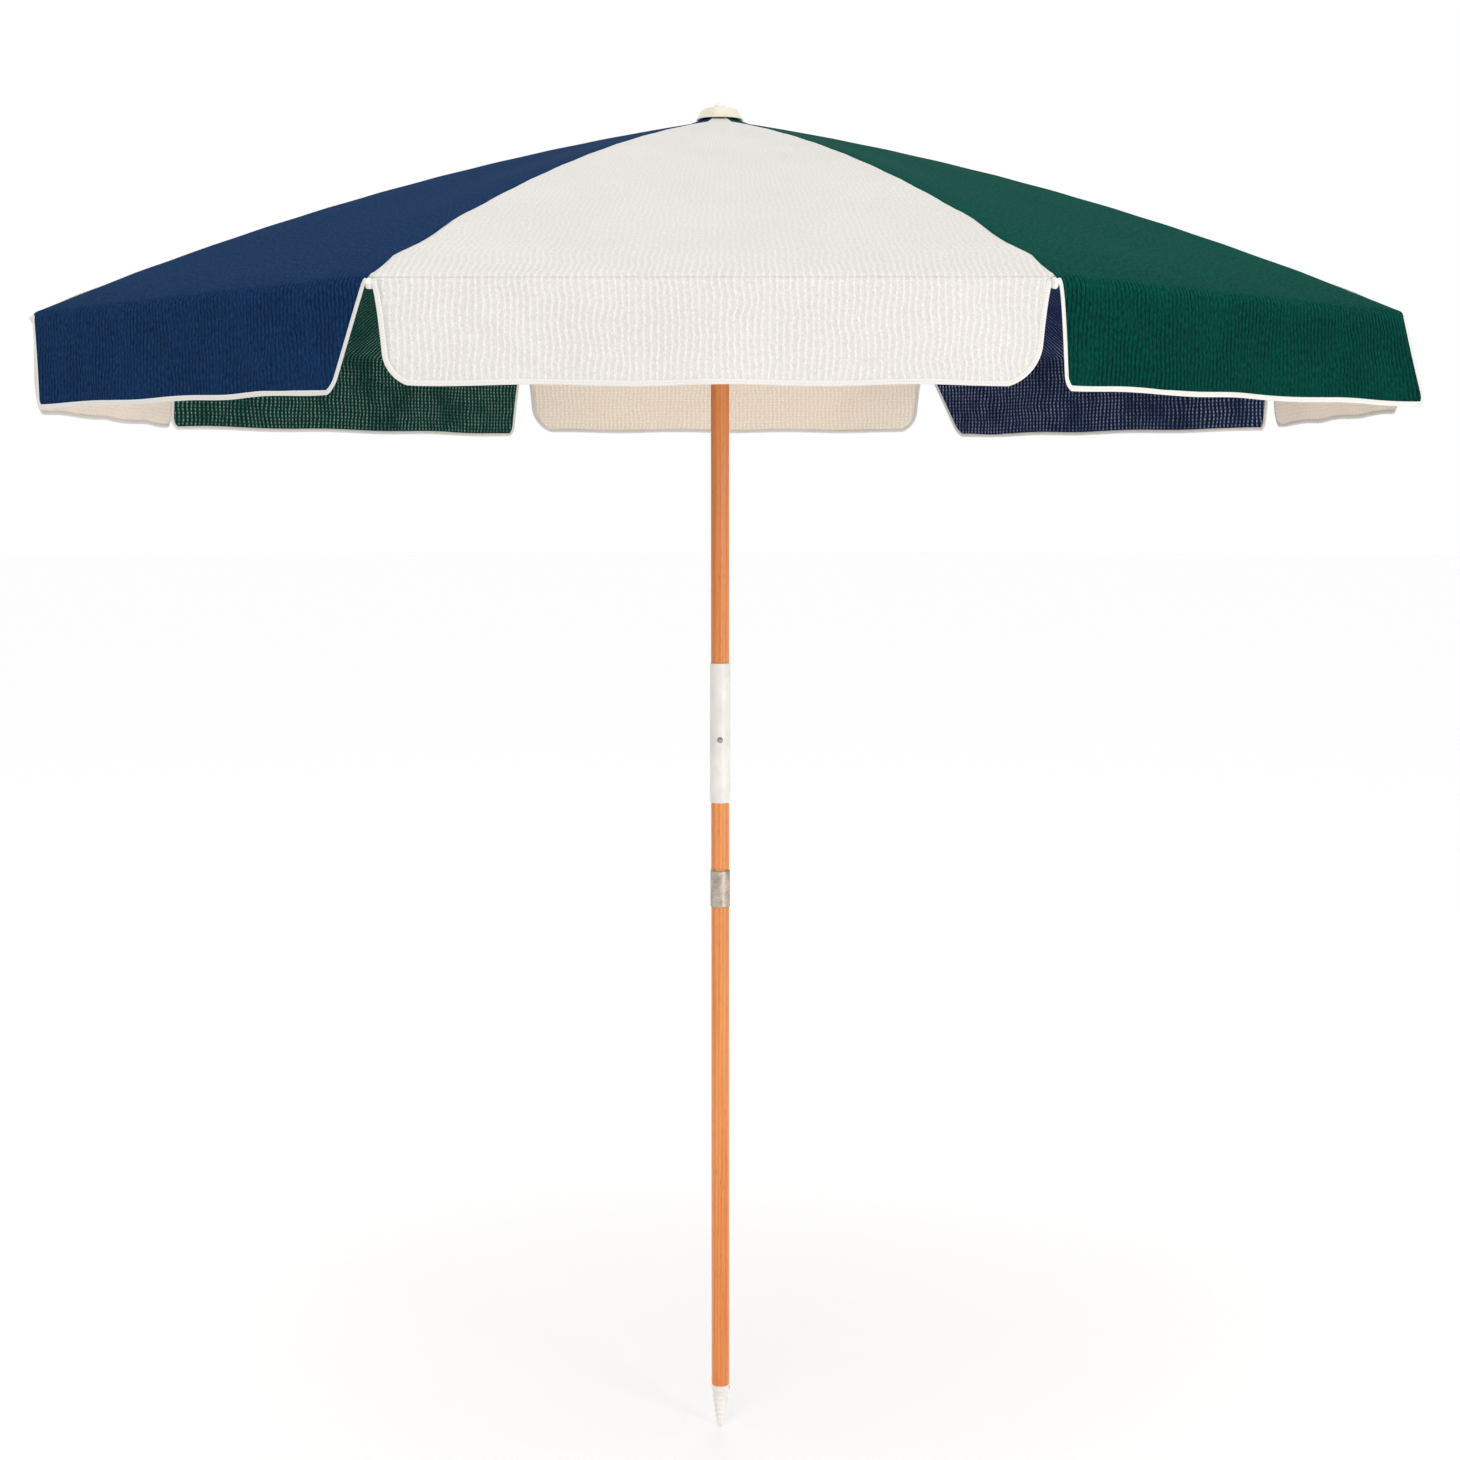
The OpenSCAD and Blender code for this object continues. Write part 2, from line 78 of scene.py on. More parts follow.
# How much longer than its neighbours each flap was cut.
FLAP_EXTRA = (-0.004, 0.001, 0.010, 0.015, 0.003, 0.012, 0.010, 0.004)
FLAP_SWINGS = (
    (0.003, -0.004),
    (-0.003, 0.038),
    (0.006, -0.003),
    (0.004, 0.006),
    (-0.005, 0.003),
    (0.007, 0.002),
    (-0.002, 0.005),
    (0.006, -0.004),
)
GORE_LENGTH = math.hypot(CANOPY_R, PEAK_Z - RIM_Z)
BINDING_W = 0.0075
BINDING_T = 0.0026
POLE_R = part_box("lower_pole")[1].x
SPIGOT_R = POLE_R - 0.0004
POLE_JOINT_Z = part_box("middle_pole")[0].z
FERRULE_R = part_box("ferrule")[1].x
SLEEVE_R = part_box("tilt_sleeve")[1].x
CAP_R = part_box("finial_cap")[1].x
KNOB_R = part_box("finial_knob")[1].x

CLOTHS = ("cream", "green", "cream", "navy")


def panel_turn(i):
    return FRONT + STEP * (i - 1)


def rib_turn(i):
    return panel_turn(i) - HALF


def colour_of(i):
    return CLOTHS[(i - 1) % len(CLOTHS)]


def profile(x):
    """Height of a rib line at a distance from the axis: an arc through the peak and the rib tip."""
    drop = PEAK_Z - RIM_Z
    chord = math.hypot(CANOPY_R, drop)
    radius = chord**2 / (8 * RIB_BOW) + RIB_BOW / 2
    slope = math.atan2(drop, CANOPY_R)
    cx = CANOPY_R / 2 - math.sin(slope) * (radius - RIB_BOW)
    cz = (PEAK_Z + RIM_Z) / 2 - math.cos(slope) * (radius - RIB_BOW)
    return cz + math.sqrt(radius**2 - (x - cx) ** 2)


def peak_rise(x):
    """How far the cloth is pulled up round the pole, under the cap."""
    return PEAK_LIFT * (1 - smooth(x, 0.018, 0.052))


def smooth(x, low, high):
    t = min(1.0, max(0.0, (x - low) / (high - low)))
    return t * t * (3 - 2 * t)


def bump(x, centre, width):
    return math.exp(-(((x - centre) / width) ** 2))


# ---- Meshes ----


def new_mesh(name, verts, faces, uvs=None):
    mesh = bpy.data.meshes.new(name)
    mesh.from_pydata([tuple(v) for v in verts], [], faces)
    if uvs:
        layer = mesh.uv_layers.new(name="cloth")
        for loop in mesh.loops:
            layer.data[loop.index].uv = uvs[loop.vertex_index]
    mesh.shade_smooth()
    piece = bpy.data.objects.new(name, mesh)
    bpy.context.scene.collection.objects.link(piece)
    return piece


def grid(name, rows, cols, point, closed=False, uv=None):
    """A sheet of quads; point(s, t) gives each corner for s and t from 0 to 1."""
    width = cols if closed else cols + 1
    steps = [(r / rows, c / cols) for r in range(rows + 1) for c in range(width)]
    faces = []
    for r in range(rows):
        for c in range(cols):
            a, b = r * width + c, r * width + (c + 1) % width
            faces.append((a, b, b + width, a + width))
    return new_mesh(name, [point(s, t) for s, t in steps], faces, uv and [uv(s, t) for s, t in steps])


def tidy(piece):
    """Merges the points that meet at a pole and turns every face outwards."""
    bm = bmesh.new()
    bm.from_mesh(piece.data)
    bmesh.ops.remove_doubles(bm, verts=bm.verts, dist=1e-6)
    bmesh.ops.recalc_face_normals(bm, faces=bm.faces)
    bm.to_mesh(piece.data)
    bm.free()
    return piece


def lathe(name, outline, turns=96, shape=None):
    """Turns an outline of (radius, height) points about Z; shape may move each point."""
    last = len(outline) - 1

    def point(s, t):
        r, z = outline[round(s * last)]
        if shape:
            r, z = shape(r, z, t * math.tau)
        return (r * math.cos(t * math.tau), r * math.sin(t * math.tau), z)

    return tidy(grid(name, last, turns, point, closed=True))


def rounded(points, radius, steps=4):
    """Outline whose inner corners are rounded by about a radius."""
    out = [points[0]]
    for k in range(1, len(points) - 1):
        before, at, after = (Vector(p) for p in points[k - 1 : k + 2])
        reach = min(radius, (before - at).length / 2.2, (after - at).length / 2.2)
        a = at + (before - at).normalized() * reach
        b = at + (after - at).normalized() * reach
        for j in range(steps + 1):
            t = j / steps
            out.append(tuple(a * (1 - t) ** 2 + at * 2 * t * (1 - t) + b * t * t))
    return out + [points[-1]]


def densify(outline, gap):
    """Adds points so that no two neighbours are further apart than a gap."""
    out = [outline[0]]
    for a, b in zip(outline, outline[1:]):
        n = max(1, math.ceil(math.dist(a, b) / gap))
        out += [tuple(x + (y - x) * k / n for x, y in zip(a, b)) for k in range(1, n + 1)]
    return out


def sweep(name, path, across, half_w, half_t, sides=10, uv_turn=0.02):
    """A closed flattened tube along a path; across(k) is its wide direction at each point."""
    last = len(path) - 1
    lengths = [0.0]
    for a, b in zip(path, path[1:]):
        lengths.append(lengths[-1] + (b - a).length)

    def point(s, t):
        k = round(s * last)
        ahead = (path[min(k + 1, last)] - path[max(k - 1, 0)]).normalized()
        wide = across(k)
        thick = ahead.cross(wide).normalized()
        end = 0.35 if k in (0, last) else 1.0
        angle = t * math.tau
        return path[k] + end * (wide * half_w * math.cos(angle) + thick * half_t * math.sin(angle))

    def uv(s, t):
        return (t * uv_turn, lengths[round(s * last)])

    piece = grid(name, last, sides, point, closed=True, uv=uv)
    bm = bmesh.new()
    bm.from_mesh(piece.data)
    bmesh.ops.holes_fill(bm, edges=[e for e in bm.edges if e.is_boundary], sides=sides + 2)
    bmesh.ops.recalc_face_normals(bm, faces=bm.faces)
    bm.to_mesh(piece.data)
    bm.free()
    return piece


def place(piece, turn, at=(0, 0, 0), tip=0.0):
    """Moves a mesh's points: leans it about Y, turns it about Z, then shifts it."""
    turned = Matrix.Translation(at) @ Matrix.Rotation(turn, 4, "Z")
    piece.data.transform(turned @ Matrix.Rotation(tip, 4, "Y"))
    return piece


def thicken(piece, thickness, inner_slot):
    modifier = piece.modifiers.new("thickness", "SOLIDIFY")
    modifier.thickness = thickness
    modifier.offset = -1
    modifier.material_offset = inner_slot
    modifier.material_offset_rim = 0


def wear(piece, *materials):
    for m in materials:
        piece.data.materials.append(m)
    return piece


# ---- Materials ----


def linear(red, green, blue):
    """A colour given as sRGB numbers from 0 to 255."""
    return tuple(((c / 255 + 0.055) / 1.055) ** 2.4 for c in (red, green, blue)) + (1.0,)


class Paint:
    """Short names for building one node material."""

    def __init__(self, name, roughness, metallic=0.0):
        self.material = bpy.data.materials.new(name)
        self.material.use_nodes = True
        self.nodes = self.material.node_tree.nodes
        self.links = self.material.node_tree.links
        self.shader = self.nodes["Principled BSDF"]
        self.shader.inputs["Metallic"].default_value = metallic
        self.shader.inputs["Roughness"].default_value = roughness

    def add(self, kind, props=None, **inputs):
        node = self.nodes.new(kind)
        for key, value in (props or {}).items():
            setattr(node, key, value)
        for key, value in inputs.items():
            socket = node.inputs[int(key[1:])] if key[0] == "i" and key[1:].isdigit() else node.inputs[key]
            if isinstance(value, bpy.types.NodeSocket):
                self.links.new(value, socket)
            else:
                socket.default_value = value
        return node.outputs[0]

    def math(self, kind, a, b=0.0):
        return self.add("ShaderNodeMath", {"operation": kind}, i0=a, i1=b)

    def mix(self, share, a, b):
        node = self.nodes.new("ShaderNodeMix")
        node.data_type = "RGBA"
        for socket, value in ((node.inputs[0], share), (node.inputs[6], a), (node.inputs[7], b)):
            if isinstance(value, bpy.types.NodeSocket):
                self.links.new(value, socket)
            else:
                socket.default_value = value
        return node.outputs[2]

    def place(self, scale, uv=False):
        coords = self.nodes.new("ShaderNodeTexCoord").outputs["UV" if uv else "Object"]
        return self.add("ShaderNodeMapping", Vector=coords, Scale=scale)

    def noise(self, where, scale, detail=3.0, rough=0.5):
        return self.add("ShaderNodeTexNoise", Vector=where, Scale=scale, Detail=detail, Roughness=rough)

    def range(self, value, low, high, to_low=0.0, to_high=1.0):
        node = self.nodes.new("ShaderNodeMapRange")
        node.interpolation_type = "SMOOTHSTEP"
        for key, v in (("Value", value), (1, low), (2, high), (3, to_low), (4, to_high)):
            if isinstance(v, bpy.types.NodeSocket):
                self.links.new(v, node.inputs[key])
            else:
                node.inputs[key].default_value = v
        return node.outputs[0]

    def bump(self, height, strength, distance):
        normal = self.add("ShaderNodeBump", Height=height, Strength=strength, Distance=distance)
        self.links.new(normal, self.shader.inputs["Normal"])

    def colour(self, value):
        self.set("Base Color", value)
        return self.material

    def set(self, key, value):
        if isinstance(value, bpy.types.NodeSocket):
            self.links.new(value, self.shader.inputs[key])
        else:
            self.shader.inputs[key].default_value = value


WALE = 0.0088  # distance between the cloth's raised lines
PICK = 0.0062  # distance between the loops along a line


def cloth(name, base, line, share, broken, flap_shade=1.0):
    """Ribbed cloth: lines run down the panel, broken into loops where the cloth's back shows; dark cloth
    can carry painted shade on its flaps.
    """
    p = Paint(name, 0.92)
    p.set("Specular IOR Level", 0.02)
    dark = "cream" not in name
    slubby = 0.38 if dark else 0.05
    if not dark:
        p.set("Subsurface Weight", 0.5)
        p.set("Subsurface Radius", (1.0, 0.97, 0.94))
        p.set("Subsurface Scale", 0.003)
    flat = p.place((1, 1, 1), uv=True)
    wander = p.noise(p.place((3, 5, 1), uv=True), 4.0, 2.0)
    split = p.add("ShaderNodeSeparateXYZ", Vector=flat)
    parts = split.node.outputs
    across = p.math("ADD", parts[0], p.math("MULTIPLY", wander, WALE * 1.8))
    wave = p.math("SINE", p.math("MULTIPLY", across, math.tau / WALE))
    along = p.math("MULTIPLY", parts[1], math.tau / PICK)
    loops = p.math("SINE", p.math("ADD", along, p.math("MULTIPLY", wave, 1.2)))
    fine = p.noise(p.place((1, 0.35, 1), uv=True), 900.0, 4.0, 0.7)
    uneven = p.noise(p.place((1, 1, 1), uv=True), 7.0, 4.0)
    mask = p.range(wave, 0.0, 0.95)
    if broken:
        mask = p.math("MULTIPLY", mask, p.range(loops, -0.5, 0.5, 0.25, 1.0))
    mask = p.math("MULTIPLY", mask, p.range(fine, 0.3, 0.62, 0.35, 1.0))
    if dark:
        fading = p.noise(p.place((1, 0.6, 1), uv=True), 16.0, 3.0, 0.6)
        mask = p.math("MULTIPLY", mask, p.range(fading, 0.34, 0.6, 0.4, 1.0))
    hanging = p.range(parts[1], GORE_LENGTH - 0.16, GORE_LENGTH + 0.03, 0.3, 1.0)
    mask = p.math("MULTIPLY", mask, hanging)
    tint = p.mix(p.math("MULTIPLY", mask, share), base, line)
    shade = p.range(uneven, 0.3, 0.7, 0.985, 1.015)
    slub = p.noise(p.place((1, 0.5, 1), uv=True), 260.0, 3.0, 0.7)
    fine_speck = p.range(fine, 0.25, 0.75, 0.86, 1.12)
    slub_speck = p.range(slub, 0.3, 0.7, 1 - slubby, 1 + slubby)
    speck = p.math("MULTIPLY", fine_speck, slub_speck)
    grey = p.math("MULTIPLY", shade, speck)
    # Painted shade: the outer green and navy cloth is made darker below the rim, on the hanging flaps, by
    # the flap's shade factor.
    if dark and not broken:
        painted_flap_shade = p.range(parts[1], GORE_LENGTH - 0.02, GORE_LENGTH + 0.03, 1.0, flap_shade)
        grey = p.math("MULTIPLY", grey, painted_flap_shade)
    toned = p.add("ShaderNodeVectorMath", {"operation": "SCALE"}, i0=tint, Scale=grey)
    height = p.math("ADD", p.math("MULTIPLY", wave, 0.5), p.math("MULTIPLY", fine, 0.7))
    height = p.math("ADD", height, p.math("MULTIPLY", loops, 0.15))
    p.bump(p.math("MULTIPLY", height, hanging), 0.5, 0.0006)
    return p.colour(toned)


def binding_cloth():
    """Woven tape with a stitch line along its middle."""
    p = Paint("binding_tape", 0.8)
    flat = p.place((1, 1, 1), uv=True)
    parts = p.add("ShaderNodeSeparateXYZ", Vector=flat).node.outputs
    weave = p.math("SINE", p.math("MULTIPLY", parts[1], math.tau / 0.0016))
    stitch = p.range(p.math("SINE", p.math("MULTIPLY", parts[1], math.tau / 0.0035)), 0.1, 0.5)
    middle = p.range(p.math("ABSOLUTE", p.math("SUBTRACT", parts[0], 0.005)), 0.0003, 0.0009, 1.0, 0.0)
    seam = p.math("MULTIPLY", stitch, middle)
    fine = p.noise(flat, 700.0, 3.0)
    cream = p.mix(p.range(fine, 0.3, 0.7), linear(206, 203, 198), linear(224, 221, 217))
    p.bump(p.math("SUBTRACT", p.math("MULTIPLY", weave, 0.3), seam), 0.5, 0.0005)
    return p.colour(p.mix(p.math("MULTIPLY", seam, 0.45), cream, linear(176, 168, 150)))


def wood():
    """Warm varnished hardwood with long fine grain, pores and a few darker streaks."""
    p = Paint("pole_wood", 0.4)
    p.set("Specular IOR Level", 0.3)
    long = p.place((1, 1, 0.035))
    warp = p.noise(long, 38.0, 3.0)
    rings = p.add(
        "ShaderNodeTexWave",
        {"bands_direction": "X"},
        Vector=p.place((1, 0.5, 0.02)),
        Scale=42.0,
        Distortion=9.0,
        Detail=3.0,
    )
    fibre = p.noise(p.place((1, 1, 0.012)), 900.0, 5.0, 0.65)
    pores = p.range(p.noise(p.place((1, 1, 0.03)), 1500.0, 2.0), 0.62, 0.72)
    light = p.mix(p.range(warp, 0.3, 0.7), linear(230, 147, 82), linear(212, 122, 62))
    ringed = p.mix(p.math("MULTIPLY", p.range(rings, 0.2, 0.9), 0.26), light, linear(152, 72, 26))
    fibred = p.mix(p.math("MULTIPLY", p.range(fibre, 0.42, 0.65), 0.35), ringed, linear(230, 156, 92))
    dark = p.mix(p.math("MULTIPLY", pores, 0.55), fibred, linear(104, 50, 22))
    p.bump(p.math("ADD", fibre, p.math("MULTIPLY", pores, -0.8)), 0.25, 0.0004)
    p.set("Roughness", p.range(fibre, 0.3, 0.7, 0.3, 0.45))
    return p.colour(dark)


def metal(name, light, dark, rough, along=(1, 1, 0.05)):
    """Bare metal with a drawn or brushed grain and dull blotches."""
    p = Paint(name, rough, 1.0)
    grain = p.noise(p.place(along), 900.0, 4.0, 0.6)
    blotch = p.noise(p.place((1, 1, 1)), 60.0, 4.0, 0.6)
    tone = p.math("ADD", p.math("MULTIPLY", grain, 0.4), p.math("MULTIPLY", blotch, 0.6))
    p.bump(grain, 0.15, 0.0003)
    p.set("Roughness", p.range(blotch, 0.3, 0.7, rough - 0.08, rough + 0.15))
    return p.colour(p.mix(p.range(tone, 0.35, 0.65), dark, light))


def plastic(name, light, dark, rough):
    """Moulded plastic with a faint grain, uneven tone and handling marks."""
    p = Paint(name, rough)
    grain = p.noise(p.place((1, 1, 1)), 1800.0, 3.0, 0.6)
    cloudy = p.noise(p.place((1, 1, 0.6)), 26.0, 4.0, 0.6)
    scuff = p.range(p.noise(p.place((1, 1, 0.08)), 420.0, 3.0, 0.7), 0.66, 0.74)
    tone = p.mix(p.range(cloudy, 0.35, 0.7), light, dark)
    p.bump(p.math("SUBTRACT", grain, p.math("MULTIPLY", scuff, 0.6)), 0.12, 0.0003)
    p.set("Roughness", p.range(cloudy, 0.3, 0.7, rough - 0.06, rough + 0.1))
    return p.colour(p.mix(p.math("MULTIPLY", scuff, 0.2), tone, dark))


def dull(name, colour):
    """Painted shade: a dark mottled colour for gaps and screw recesses."""
    p = Paint(name, 0.9)
    shade_mottle = p.noise(p.place((1, 1, 1)), 1200.0, 4.0)
    return p.colour(p.mix(shade_mottle, colour, linear(20, 18, 16)))


outer_cloth = {
    "cream": cloth("cloth_cream", linear(203, 200, 196), linear(217, 214, 209), 0.9, False),
    # The last number darkens the green and navy flaps below the rim as painted shade.
    "green": cloth("cloth_green", linear(4, 72, 62), linear(0, 26, 26), 0.9, False, 0.66),
    "navy": cloth("cloth_navy", linear(22, 50, 86), linear(9, 22, 46), 0.85, False, 0.9),
}
inner_cloth = {
    "cream": cloth("cloth_cream_back", linear(227, 213, 198), linear(246, 240, 232), 0.95, True),
    "green": cloth("cloth_green_back", linear(6, 50, 42), linear(150, 180, 168), 0.74, True),
    "navy": cloth("cloth_navy_back", linear(18, 32, 64), linear(170, 178, 196), 0.74, True),
}
tape = binding_cloth()
pole_wood = wood()
galvanised = metal("galvanised_steel", linear(206, 194, 182), linear(156, 145, 134), 0.5, (0.3, 0.3, 1))
wire_steel = metal("wire_steel", linear(168, 168, 168), linear(118, 118, 118), 0.38)
bright_steel = metal("screw_steel", linear(196, 196, 192), linear(140, 138, 134), 0.3)
white_plastic = plastic("white_plastic", linear(231, 227, 222), linear(219, 214, 209), 0.34)
cream_plastic = plastic("cream_plastic", linear(226, 220, 202), linear(212, 204, 182), 0.36)
# Painted shade for the recesses round the screw and nail heads.
recess_shade = dull("recess_shade", linear(54, 48, 42))


# ---- Canopy ----

GORE_ROWS, GORE_COLS = 76, 56
RIM_ROUND = 0.012
FLAP_HEM = FLAP_DROP - BINDING_W * 0.35
FLAP_DOWNS = [RIM_ROUND * k / 6 for k in range(6)]
FLAP_DOWNS += [RIM_ROUND + (FLAP_HEM - RIM_ROUND) * (1 - (1 - k / 28) ** 1.7) for k in range(29)]
FLAP_ROWS, FLAP_COLS = len(FLAP_DOWNS) - 1, 72


def seam_shift(s, i):
    """How far a seam strays from the rib line near the rim, where stitches pull the cloth."""
    out = 0.006 * bump(s, 0.93, 0.025) - 0.0035 * bump(s, 0.865, 0.03) + 0.0025 * bump(s, 0.79, 0.03)
    ripple = 0.00025 * math.sin(s * 190) * smooth(s, 0.1, 0.2) * (1 - smooth(s, 0.95, 0.99))
    return (out + ripple) * (1 if i % 2 else -1)


def rim_pull(away):
    """How far the rounded fold pulls the cloth in and down, at a distance from the rim."""
    share = RIM_ROUND * 0.27 * max(0.0, 1 - away / RIM_ROUND) ** 2
    return -0.84 * share, -0.54 * share


def gore_rows(s):
    """Rows are close together in the last stretch before the rim."""
    return s * 0.984 / 0.86 if s < 0.86 else 0.984 + 0.016 * (s - 0.86) / 0.14


def gore_point(i, s, t):
    """s runs from the crown to the rim and t across the gore, in the gore's own frame."""
    side = 2 * t - 1
    x = HOLE_R + (CANOPY_R - HOLE_R) * s
    reach = x * math.sin(HALF) - 0.00035
    y = side * (reach + seam_shift(s, i) * min(1.0, x / 0.2))
    free = (1 - smooth(s, 0.93, 1.0)) * smooth(s, 0.03, 0.2)
    edge = abs(side) ** 10
    near = (1 - abs(side)) * reach
    sag = -0.003 * math.cos(side * math.pi / 2) ** 2 * math.sin(min(1.0, s) * math.pi)
    folds = 0.0009 * math.sin(side * (3 + i % 3) + 1.7 * i) * math.sin(s * 5.0 + i)
    puckers = 0.0003 * math.sin(s * 74 + i) * edge
    groove = -0.0010 * bump(near, 0.0, 0.0016)
    stitch = -0.0005 * bump(near, 0.006, 0.0014) * smooth(s, 0.05, 0.1)
    seams = (groove + stitch) * (1 - smooth(s, 0.985, 1.0))
    z = profile(x) + peak_rise(x) + free * (sag + folds * (1 - edge) + puckers) + seams
    pull_in, pull_down = rim_pull((1 - s) * GORE_LENGTH)
    return Vector((x * math.cos(HALF) + pull_in, y, z + pull_down))


def cloth_columns(t):
    """Packs the columns closer together near both edges, for the seams."""
    return t - 0.6 * math.sin(t * math.tau) / math.tau


def share_across(turn, point):
    """How far across its panel a point lies: 0 at the clockwise rib and 1 at the anticlockwise one."""
    flat = turn.inverted() @ Vector(point)
    reach = max(1e-6, flat.x * math.tan(HALF))
    return min(1.0, max(0.0, 0.5 + 0.5 * flat.y / reach))


def rim_seat(i, turn, point):
    """The point of the rim that a point of the flap hangs from."""
    flat = turn.inverted() @ Vector(point)
    down = min(FLAP_HEM, max(0.0, RIM_Z - flat.z))
    side = flat.y / max(flap_edge(i, down, 1 if flat.y > 0 else -1), 1e-6)
    side = min(1.0, max(-1.0, side))
    pull_in, pull_down = rim_pull(0.0)
    return turn @ Vector((APOTHEM + pull_in, flap_across(i, 0.0, side), RIM_Z + pull_down))


def hang_on_rim(piece, i, turn):
    """Notes the rim seat of each point of a flap or of its binding."""
    seats = []
    for v in piece.data.vertices:
        near = 1 - smooth(RIM_Z - v.co.z, 0.002, RIM_ROUND)
        seats.append(rim_seat(i, turn, v.co).lerp(v.co, near))
    keep_seat(piece, seats, [share_across(turn, p) for p in seats])


def make_gore(i):
    turn = Matrix.Rotation(panel_turn(i), 3, "Z")
    gore = grid(
        f"gore_{i}",
        GORE_ROWS,
        GORE_COLS,
        lambda s, t: turn @ gore_point(i, gore_rows(s), 1 - cloth_columns(t)),
        uv=lambda s, t: (
            (2 * cloth_columns(t) - 1) * RIM_HALF * (0.35 + 0.65 * gore_rows(s)) + i,
            gore_rows(s) * GORE_LENGTH,
        ),
    )
    row = [1 - cloth_columns(c / GORE_COLS) for c in range(GORE_COLS + 1)]
    keep_seat(gore, [v.co.copy() for v in gore.data.vertices], row * (GORE_ROWS + 1))
    wear(gore, outer_cloth[colour_of(i)], inner_cloth[colour_of(i)])
    thicken(gore, CLOTH, 1)
    return gore


def flap_edge(i, down, way):
    """How far a flap reaches to one side, at a distance below the rim."""
    taper, power, corner = FLAP_CUTS[colour_of(i)][way > 0]
    lift = FLAP_DROP - down
    round_off = 0.0
    if lift < corner:
        round_off = corner - math.sqrt(max(0.0, corner**2 - (corner - lift) ** 2))
    return RIM_HALF - 0.004 - taper * (down / FLAP_DROP) ** power - round_off


def flap_area(i):
    """Flat area of a flap, summed over its rows."""
    stretch = 1 + FLAP_EXTRA[i - 1] / FLAP_DROP
    total = 0.0
    for high, low in zip(FLAP_DOWNS, FLAP_DOWNS[1:]):
        middle = (high + low) / 2
        total += (flap_edge(i, middle, 1) + flap_edge(i, middle, -1)) * (low - high) * stretch
    return total


def flap_across(i, down, side):
    return side * flap_edge(i, down, side)


def flap_point(i, down, side):
    """A point of the flap, in the panel's own frame; side is from -1 to 1."""
    share = down / FLAP_DROP
    reach = RIM_HALF * side
    swing = 0.0026 * math.sin(reach * 17 + 2.1 * i) + 0.0012 * math.sin(reach * 41 + 1.3 * i)
    curl = FLAP_SWINGS[i - 1][side > 0] * abs(side) ** 3
    crease = 0.0035 * bump(abs(reach) - 0.33 + 0.9 * down, 0.0, 0.022) * math.sin(share * math.pi)
    out = share * (swing + curl) + crease - 0.003 * share * (1 - share)
    hem = 0.0012 * share * math.sin(reach * 23 + i)
    pull_in, pull_down = rim_pull(down)
    drop = down * (1 + FLAP_EXTRA[i - 1] / FLAP_DROP)
    return Vector((APOTHEM + out + pull_in, flap_across(i, down, side), RIM_Z - drop + hem + pull_down))


def flap_rows(s):
    """Distance below the rim of one of the flap's rows."""
    return FLAP_DOWNS[round(s * FLAP_ROWS)]


def make_flap(i):
    turn = Matrix.Rotation(panel_turn(i), 3, "Z")
    flap = grid(
        f"flap_cloth_{i}",
        FLAP_ROWS,
        FLAP_COLS,
        lambda s, t: turn @ flap_point(i, flap_rows(s), 1 - 2 * t),
        uv=lambda s, t: (i - flap_across(i, flap_rows(s), 1 - 2 * t), GORE_LENGTH + flap_rows(s)),
    )
    hang_on_rim(flap, i, turn)
    wear(flap, outer_cloth[colour_of(i)], inner_cloth[colour_of(i)])
    thicken(flap, CLOTH, 1)
    return flap


def binding_path(i):
    """The flap's outline down one side, along the hem and up the other side."""
    downs = FLAP_DOWNS[1:]
    low = downs[-1]
    left = [flap_point(i, d, -1.0) for d in downs]
    hem = [flap_point(i, low, -1 + 2 * k / 60) for k in range(1, 60)]
    right = [flap_point(i, d, 1.0) for d in reversed(downs)]
    path = [left[0]]
    for p in left[1:] + hem + right:
        if (p - path[-1]).length > 0.002:
            path.append(p)
    return path


def make_binding(i):
    turn = Matrix.Rotation(panel_turn(i), 3, "Z")
    flat = binding_path(i)
    path = [turn @ (p + Vector((-CLOTH / 2, 0, 0))) for p in flat]
    outward = turn @ Vector((1, 0, 0))

    def across(k):
        ahead = (path[min(k + 1, len(path) - 1)] - path[max(k - 1, 0)]).normalized()
        return outward.cross(ahead).normalized()

    binding = sweep(f"flap_binding_{i}", path, across, BINDING_W / 2, BINDING_T / 2)
    hang_on_rim(binding, i, turn)
    return wear(binding, tape)


def keep_seat(piece, seats, shares):
    """Notes where each point of a cloth hangs from, and its share of the way between the ribs."""
    mesh = piece.data
    drops = [v.co - seat for v, seat in zip(mesh.vertices, seats)]
    for name, vectors in (("seat", seats), ("drop", drops)):
        mesh.attributes.new(name, "FLOAT_VECTOR", "POINT")
        mesh.attributes[name].data.foreach_set("vector", [c for v in vectors for c in v])
    radii = [math.hypot(v.co.x, v.co.y) for v in mesh.vertices]
    loose = [smooth(r, HELD_R, FREE_R) for r in radii]
    for name, values in (("share", shares), ("loose", loose)):
        mesh.attributes.new(name, "FLOAT", "POINT")
        mesh.attributes[name].data.foreach_set("value", values)


def noted(tree, name, kind):
    """Reads one of the notes that keep_seat left on each point."""
    node = tree.nodes.new("GeometryNodeInputNamedAttribute")
    node.data_type = kind
    node.inputs["Name"].default_value = name
    return node.outputs["Attribute"]


def carried_by(tree, part, point):
    """Where a point goes when it moves with one of the CAD's nodes."""
    info = tree.nodes.new("GeometryNodeObjectInfo")
    info.transform_space = "RELATIVE"
    info.inputs["Object"].default_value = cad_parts[part]
    moved = tree.nodes.new("FunctionNodeTransformPoint")
    tree.links.new(point, moved.inputs["Vector"])
    tree.links.new(info.outputs["Transform"], moved.inputs["Transform"])
    return moved.outputs[0]


